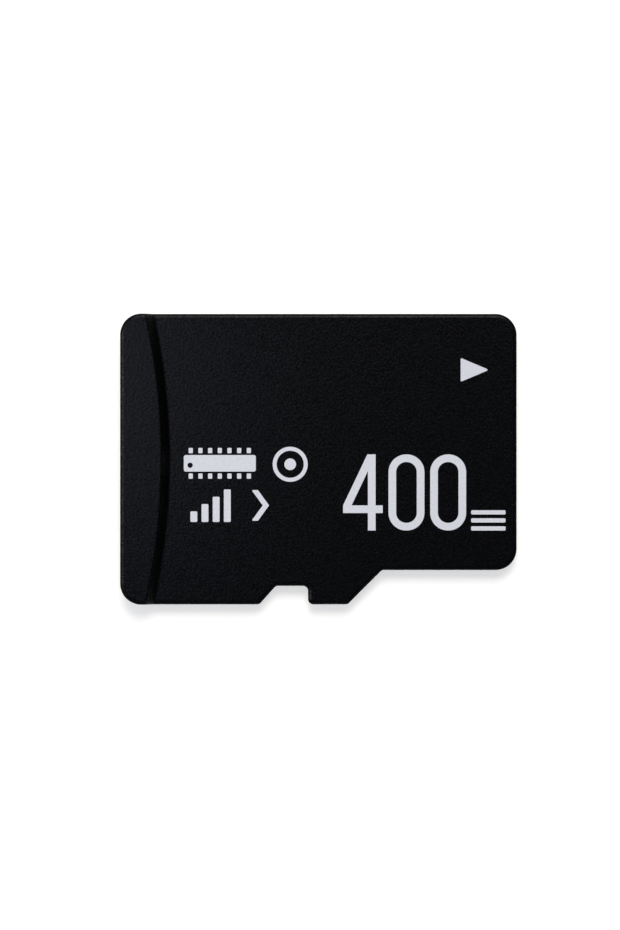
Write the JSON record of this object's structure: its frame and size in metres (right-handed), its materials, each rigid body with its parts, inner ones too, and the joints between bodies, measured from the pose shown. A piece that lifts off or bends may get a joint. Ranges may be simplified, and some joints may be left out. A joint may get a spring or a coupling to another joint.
{
  "type": "memory card",
  "caption": "Thin rectangular flash memory card with a raised finger lip at one end, a keyed edge with a latch notch, and gold contacts under the other end.",
  "frame": {"origin": "on the underside, at the middle of the card's length and width", "axes": "+X towards the contact end, +Y towards the straight long edge, +Z out of the printed face"},
  "size_m": [0.015, 0.011, 0.001],
  "materials": {
    "mould_compound": "black epoxy mould compound, fine grained",
    "laminate": "glass laminate under black solder mask, satin",
    "gold_plate": "gold plated copper, satin",
    "attach_film": "adhesive film",
    "silicon": "ground silicon",
    "capacitor_ceramic": "fired ceramic, tinned ends",
    "resistor_ceramic": "fired ceramic, tinned ends",
    "bond_wire": "drawn gold wire",
    "print_ink": "pad printed white ink"
  },
  "bodies": {
    "root": {"capacitor_1": "capacitor_ceramic", "capacitor_2": "capacitor_ceramic", "capacitor_3": "capacitor_ceramic", "contact_clock": "gold_plate", "contact_command": "gold_plate", "contact_data_0": "gold_plate", "contact_data_1": "gold_plate", "contact_data_2": "gold_plate", "contact_data_3": "gold_plate", "contact_ground": "gold_plate", "contact_supply": "gold_plate", "controller_bond_wires": "bond_wire", "controller_die": "silicon", "controller_film": "attach_film", "memory_bond_wires": "bond_wire", "memory_die_1": "silicon", "memory_die_2": "silicon", "memory_die_3": "silicon", "memory_die_4": "silicon", "memory_film_1": "attach_film", "memory_film_2": "attach_film", "memory_film_3": "attach_film", "memory_film_4": "attach_film", "moulded_body": "mould_compound", "resistor_1": "resistor_ceramic", "resistor_2": "resistor_ceramic", "resistor_3": "resistor_ceramic", "substrate": "laminate"}
  },
  "joints": []
}
